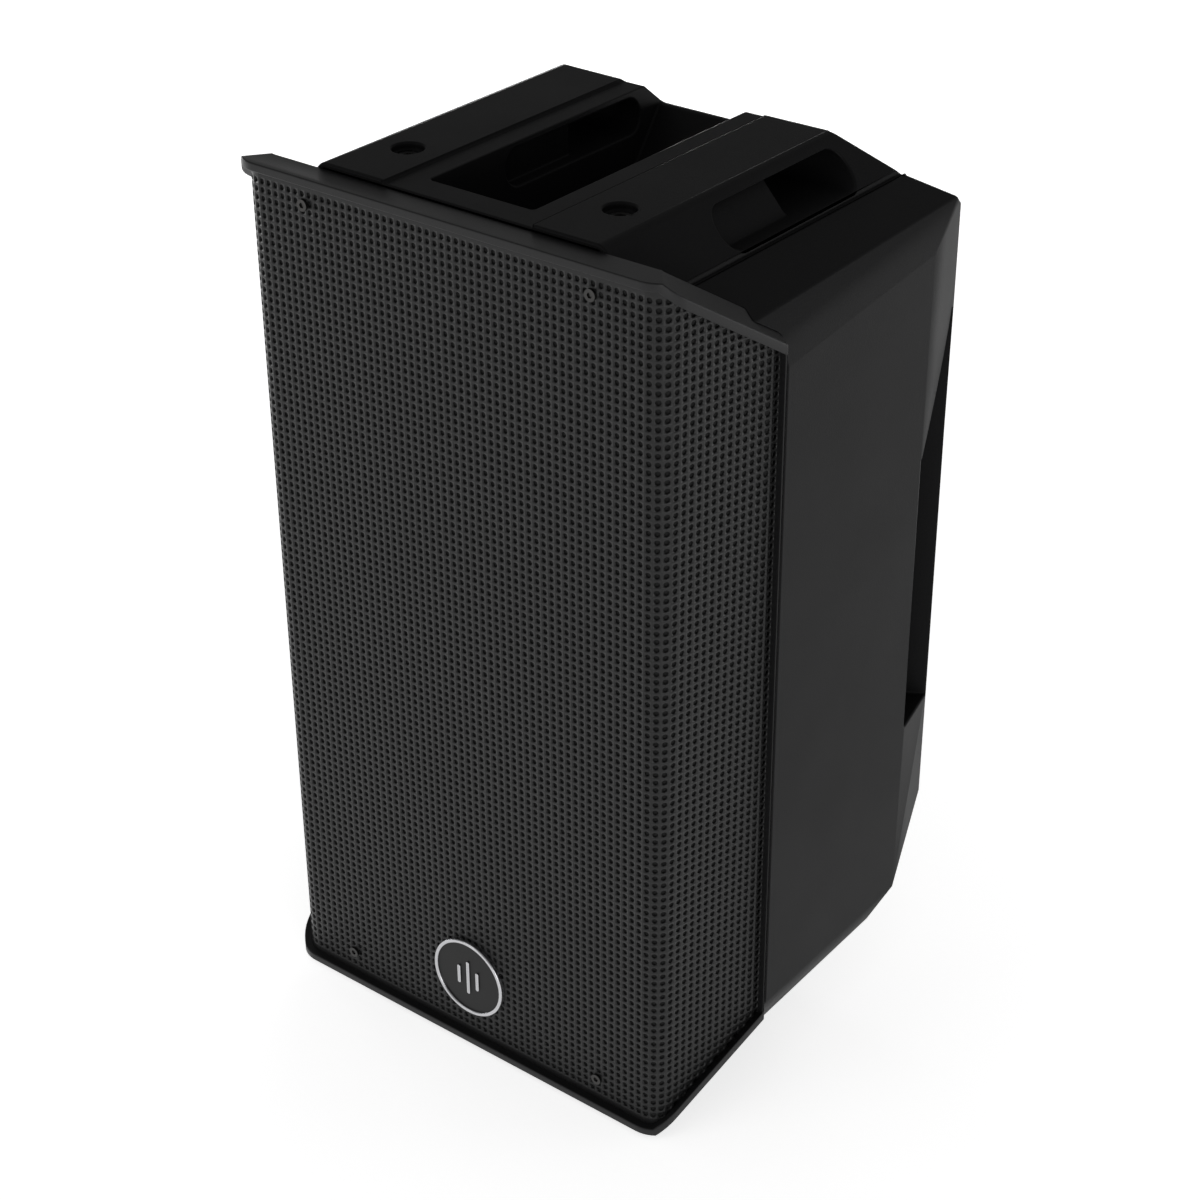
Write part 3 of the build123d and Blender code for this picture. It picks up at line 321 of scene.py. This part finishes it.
def punched(name, columns, first):
    """A run of the punched sheet, `columns` wide, whose first hole's left edge is at `first`."""
    bpy.ops.object.select_all(action="DESELECT")
    bpy.ops.mesh.primitive_plane_add(size=pitch, location=(0, 0, 0))
    sheet = bpy.context.active_object
    sheet.name = name
    bpy.ops.object.mode_set(mode="EDIT")
    bpy.ops.mesh.subdivide(number_cuts=1)
    bpy.ops.mesh.select_all(action="DESELECT")
    bpy.ops.object.mode_set(mode="OBJECT")
    centre = min(sheet.data.vertices, key=lambda v: v.co.length)
    centre.select = True
    bpy.ops.object.mode_set(mode="EDIT")
    bpy.ops.mesh.dissolve_verts()
    bpy.ops.mesh.select_all(action="SELECT")
    bpy.ops.mesh.inset(thickness=pitch * 0.1, depth=0)
    bpy.ops.object.mode_set(mode="OBJECT")
    for vertex in sheet.data.vertices:
        if vertex.select:
            vertex.co = vertex.co.normalized() * hole_radius
    bpy.ops.object.mode_set(mode="EDIT")
    bpy.ops.mesh.extrude_region_move(TRANSFORM_OT_translate={"value": (0, 0, -gauge)})
    bpy.ops.mesh.delete(type="FACE")
    bpy.ops.object.mode_set(mode="OBJECT")
    # stand the sheet up so that its face looks forwards, and repeat the hole
    for vertex in sheet.data.vertices:
        x, y, z = vertex.co
        vertex.co = (x, -z, y)
    for count, step in ((columns, (pitch, 0, 0)), (rows, (0, 0, pitch))):
        array = sheet.modifiers.new("repeat", "ARRAY")
        array.count = count
        array.use_relative_offset = False
        array.use_constant_offset = True
        array.constant_offset_displace = step
        array.use_merge_vertices = True
        array.merge_threshold = pitch * 0.01
        bpy.ops.object.modifier_apply(modifier=array.name)
    low_z = sheet_low[2] + margin + pitch / 2
    for vertex in sheet.data.vertices:
        vertex.co += Vector((first + pitch / 2, 0, low_z))
    # plain borders above and below the rows
    for edge_z, grow in ((low_z - pitch / 2, -margin), (low_z + (rows - 0.5) * pitch, margin)):
        bpy.ops.object.mode_set(mode="EDIT")
        bpy.ops.mesh.select_all(action="DESELECT")
        bpy.ops.object.mode_set(mode="OBJECT")
        for edge in sheet.data.edges:
            ends = [sheet.data.vertices[i].co for i in edge.vertices]
            edge.select = all(abs(end.z - edge_z) < pitch * 0.02 for end in ends)
        bpy.ops.object.mode_set(mode="EDIT")
        bpy.ops.mesh.select_mode(type="EDGE")
        bpy.ops.mesh.extrude_region_move(TRANSFORM_OT_translate={"value": (0, 0, grow)})
        bpy.ops.mesh.select_mode(type="VERT")
        bpy.ops.object.mode_set(mode="OBJECT")
    for vertex in sheet.data.vertices:
        vertex.co = folded(vertex.co)
    return sheet


def trim_slope(sheet, point, normal):
    """Cuts away what lies beyond a sloping edge."""
    bpy.ops.object.select_all(action="DESELECT")
    sheet.select_set(True)
    bpy.context.view_layer.objects.active = sheet
    bpy.ops.object.mode_set(mode="EDIT")
    bpy.ops.mesh.select_all(action="SELECT")
    bpy.ops.mesh.bisect(plane_co=point, plane_no=normal, clear_outer=True)
    bpy.ops.object.mode_set(mode="OBJECT")


wing_length, wing_drop = 90.2 * MM, 58.0 * MM
rim_gap = 5.7 * MM
bezel_low, bezel_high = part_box("front_bezel")
middle_z = (bezel_low[2] + bezel_high[2]) / 2
half_height = (bezel_high[2] - bezel_low[2]) / 2
flat_start = -flat_columns * pitch / 2
grille_pieces = [punched("grille_front", flat_columns, flat_start),
                 punched("grille_right_wing", wing_columns, -flat_start),
                 punched("grille_left_wing", wing_columns, flat_start - wing_columns * pitch)]
for sheet in grille_pieces:
    for side in (1, -1):
        edge = Vector((side * cos(fold) * wing_length, sin(fold) * wing_length, -wing_drop))
        mitre = Vector((-side * tan(fold / 2), 1, 0))
        slope = edge.cross(mitre).normalized()
        slope = slope if slope.z > 0 else -slope
        for end in (1, -1):
            normal = Vector((slope.x, slope.y, slope.z * end))
            start = Vector((side * front_half, front_y, middle_z + end * half_height))
            trim_slope(sheet, start - normal * rim_gap, normal)
    sheet.data.materials.append(powder_coat)
    bpy.ops.object.shade_smooth()
    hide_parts("grille")
    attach(sheet, "cabinet")

# ---- foam and wadding ---------------------------------------------------------------------------------
# Thin reticulated foam lies behind the holes and keeps dust out; bonded fibre damps the side walls.
wear(grained("grille_foam", (0.004, 0.004, 0.004, 1), (0.010, 0.010, 0.010, 1), 0.95, 700, 0.0006),
     "grille_foam")
wear(grained("fibre_wadding", (0.42, 0.41, 0.38, 1), (0.62, 0.61, 0.57, 1), 0.95, 240, 0.002, cloud=30),
     "side_wadding")

# ---- badge --------------------------------------------------------------------------------------------
# A bright turned ring round a black plate with three bright raised bars, riveted through the grille.
bright_ring = grained("bright_ring", (0.42, 0.42, 0.43, 1), (0.62, 0.62, 0.64, 1), 0.22, 700, 0.00002,
                      metallic=1.0)
softened("badge_bright", ["badge_ring"], bright_ring, 0.25 * MM, angle=50)
wear(grained("badge_black", (0.004, 0.004, 0.004, 1), (0.007, 0.007, 0.007, 1), 0.32, 1200, 0.00002,
             specular=0.2),
     "badge_plate")

# ---- screws and other small steel ---------------------------------------------------------------------
# Blackened pan-head screws hold the mouldings and drivers, and brighter ones hold the grille.
# Zinc-plated steel makes the shafts, plates, bolts and standoffs.
black_oxide = grained("black_oxide", (0.018, 0.018, 0.018, 1), (0.045, 0.044, 0.042, 1), 0.36, 1800, 0.00004,
                      metallic=0.6)
wear(black_oxide, "baffle_screws", "panel_screws", "pole_screws", "rigging_inserts")
wear(grained("bright_oxide", (0.030, 0.030, 0.030, 1), (0.060, 0.058, 0.056, 1), 0.24, 1600, 0.00004,
             metallic=0.9),
     "grille_screws")
zinc = grained("zinc_plate", (0.46, 0.46, 0.44, 1), (0.62, 0.61, 0.57, 1), 0.34, 900, 0.00003, metallic=1.0)
wear(zinc, "woofer_top_plate", "woofer_back_plate", "driver_bolts", "board_standoffs",
     "rocker_pin", "level_shaft_1", "level_shaft_2", "level_shaft_3", "potentiometers", "latch_tab_1",
     "latch_tab_2")

# ---- woofer -------------------------------------------------------------------------------------------
# Doped paper cone and cap, rubber roll surround, cast frame and ferrite magnet.
paper = grained("doped_paper", (0.020, 0.020, 0.020, 1), (0.045, 0.045, 0.044, 1),
                0.78, 420, 0.0004, cloud=40)
wear(paper, "woofer_cone", "dust_cap", "spider")
rubber = grained("rubber", (0.014, 0.014, 0.014, 1), (0.026, 0.026, 0.026, 1), 0.66, 1300, 0.00008)
wear(rubber, "woofer_surround", "woofer_gasket", "feet")
cast = grained("cast_aluminium", (0.40, 0.40, 0.41, 1), (0.55, 0.55, 0.56, 1),
               0.46, 800, 0.0001, metallic=1.0)
wear(cast, "woofer_frame", "voice_coil", "compression_driver", "driver_diaphragm")
wear(grained("ferrite", (0.05, 0.05, 0.052, 1), (0.09, 0.09, 0.092, 1), 0.7, 600, 0.0002), "woofer_magnet")

# ---- amplifier panel ----------------------------------------------------------------------------------
# A textured black steel panel with its heatsink, sockets, controls and the boards behind it.
wear(grained("panel_paint", (0.020, 0.020, 0.021, 1), (0.034, 0.034, 0.035, 1),
             0.5, 1100, 0.0002), "amp_panel")
wear(grained("anodised_fins", (0.022, 0.022, 0.023, 1), (0.04, 0.04, 0.041, 1), 0.4, 1500, 0.00004,
             metallic=0.7),
     "heatsink")
wear(grained("board_lacquer", (0.012, 0.075, 0.028, 1), (0.02, 0.11, 0.045, 1), 0.3, 500, 0.0001, coat=0.3),
     "amp_board", "power_supply")
wear(grained("socket_black", (0.012, 0.012, 0.013, 1), (0.022, 0.022, 0.023, 1), 0.34, 1400, 0.00004),
     "input_sockets", "output_socket", "power_inlet", "switch_housing", "push_switches")
wear(grained("knob_black", (0.016, 0.016, 0.017, 1), (0.03, 0.03, 0.031, 1), 0.38, 1400, 0.00005),
     "level_knob_1", "level_knob_2", "level_knob_3", "power_rocker")
wear(grained("button_grey", (0.30, 0.30, 0.31, 1), (0.40, 0.40, 0.41, 1), 0.4, 1400, 0.00004),
     "line_button_1", "line_button_2", "mode_button")
wear(grained("contact_brass", (0.62, 0.45, 0.20, 1), (0.78, 0.60, 0.30, 1), 0.25, 900, 0.00002, metallic=1.0),
     "contact_pins")
wear(grained("green_lens", (0.04, 0.36, 0.07, 1), (0.07, 0.50, 0.12, 1), 0.15, 900, 0.00002, coat=0.5),
     "status_lens")

# ---- dial marks and pointers --------------------------------------------------------------------------
# White ink: eleven ticks printed round each level knob, and a pointer line filled into the knob's face.
# The pointer turns with its knob, and the ticks stay on the panel.
dial_white = grained("dial_white", (0.55, 0.55, 0.54, 1), (0.68, 0.68, 0.67, 1), 0.5, 900, 0.00002)
ink = 0.15 * MM
panel_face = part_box("amp_panel")[1][1]


def line_mark(name, length, width):
    """A thin upright line of ink with softened edges, centred on the origin."""
    bpy.ops.object.select_all(action="DESELECT")
    bpy.ops.mesh.primitive_cube_add(size=1, location=(0, 0, 0))
    mark = bpy.context.active_object
    mark.name = name
    mark.data.transform(Matrix.Diagonal((width, ink, length, 1)))
    bpy.ops.object.mode_set(mode="EDIT")
    bpy.ops.mesh.select_all(action="SELECT")
    bpy.ops.mesh.bevel(offset=ink * 0.3, segments=2, affect="EDGES")
    bpy.ops.object.mode_set(mode="OBJECT")
    mark.data.materials.append(dial_white)
    return mark


for number in (1, 2, 3):
    knob_low, knob_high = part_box(f"level_knob_{number}")
    centre_x, centre_z = (knob_low[0] + knob_high[0]) / 2, (knob_low[2] + knob_high[2]) / 2
    knob_radius = (knob_high[0] - knob_low[0]) / 2
    ticks = []
    for step in range(11):
        tick = line_mark(f"dial_{number}_{step}", 1.8 * MM if step % 5 else 2.8 * MM, 0.5 * MM)
        tick.data.transform(Matrix.Translation((centre_x, panel_face, centre_z))
                            @ Matrix.Rotation(radians(30 * step - 150), 4, "Y")
                            @ Matrix.Translation((0, 0, knob_radius + 3.2 * MM)))
        ticks.append(tick)
    bpy.ops.object.select_all(action="DESELECT")
    for tick in ticks:
        tick.select_set(True)
    bpy.context.view_layer.objects.active = ticks[0]
    bpy.ops.object.join()
    ticks[0].name = f"dial_{number}"
    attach(ticks[0], "cabinet")
    pointer = line_mark(f"pointer_{number}", knob_radius * 0.8, 1.0 * MM)
    pointer.data.transform(Matrix.Translation((centre_x, knob_high[1], centre_z + knob_radius * 0.5)))
    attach(pointer, f"level_{number}")

# ---- studio -------------------------------------------------------------------------------------------
# A pale seamless floor that gives off a little light, and soft lights low on all sides. The light from
# above is weak, and the background looks brighter than the light it gives.
floor_glow = 0.70
sky_light = 0.30
bpy.ops.object.select_all(action="DESELECT")
bpy.ops.mesh.primitive_plane_add(size=60, location=(0, 0, -0.5 * MM))
floor = bpy.context.active_object
floor.name = "floor"
paper_floor = grained("floor_paper", (0.88, 0.88, 0.88, 1), (0.90, 0.90, 0.90, 1), 0.9, 300, 0.0001)
floor_shader = paper_floor.node_tree.nodes["Principled BSDF"]
floor_shader.inputs["Emission Color"].default_value = (1, 1, 1, 1)
floor_shader.inputs["Emission Strength"].default_value = floor_glow
floor.data.materials.append(paper_floor)

world = bpy.data.worlds.new("studio")
world.use_nodes = True
sky = world.node_tree.nodes["Background"]
sky.inputs["Color"].default_value = (1, 1, 1, 1)
ray = world.node_tree.nodes.new("ShaderNodeLightPath")
shade = world.node_tree.nodes.new("ShaderNodeMapRange")
shade.inputs["To Min"].default_value = sky_light
shade.inputs["To Max"].default_value = 1.0
world.node_tree.links.new(ray.outputs["Is Camera Ray"], shade.inputs["Value"])
world.node_tree.links.new(shade.outputs["Result"], sky.inputs["Strength"])
bpy.context.scene.world = world
bpy.context.scene.view_settings.view_transform = "Standard"


cabinet_middle = Vector((0, 0, 0.3))


def soft_light(name, place, size, power):
    """A rectangular light of a width and height in metres that faces the cabinet."""
    light = bpy.data.lights.new(name, "AREA")
    light.shape = "RECTANGLE"
    light.size, light.size_y = size
    light.energy = power
    lamp = bpy.data.objects.new(name, light)
    lamp.location = place
    lamp.rotation_mode = "QUATERNION"
    lamp.rotation_quaternion = (cabinet_middle - Vector(place)).to_track_quat("-Z", "Y")
    bpy.context.collection.objects.link(lamp)


soft_light("front_right", (2.4, -2.0, 0.5), (1.6, 1.0), 18)
soft_light("back_right", (2.4, 1.8, 0.32), (1.2, 0.45), 10)
soft_light("left", (-2.8, 0.4, 0.32), (1.4, 0.45), 20)
soft_light("back_left", (-1.6, 2.6, 0.32), (1.6, 0.45), 24)
soft_light("front_left", (-1.2, -2.6, 1.2), (1.4, 1.2), 8)

# the camera stands above and to the right, with a long lens, and is level but for a hair of tilt
azimuth, elevation, tilt = radians(38.36), radians(30.51), radians(-0.35)
back = Vector((sin(azimuth) * cos(elevation), -cos(azimuth) * cos(elevation), sin(elevation)))
right = Vector((cos(azimuth), sin(azimuth), 0))
up = back.cross(right)
camera_right = right * cos(tilt) + up * sin(tilt)
camera_up = up * cos(tilt) - right * sin(tilt)
camera_place = Vector((0.8958, front_y - 0.9826, bezel_low[2] + 1.1338))
lens = bpy.data.cameras.new("camera")
lens.lens = 74.98
lens.sensor_width = 36
camera = bpy.data.objects.new("camera", lens)
turn = Matrix((camera_right, camera_up, back)).transposed().to_4x4()
camera.matrix_world = Matrix.Translation(camera_place) @ turn
bpy.context.collection.objects.link(camera)
bpy.context.scene.camera = camera
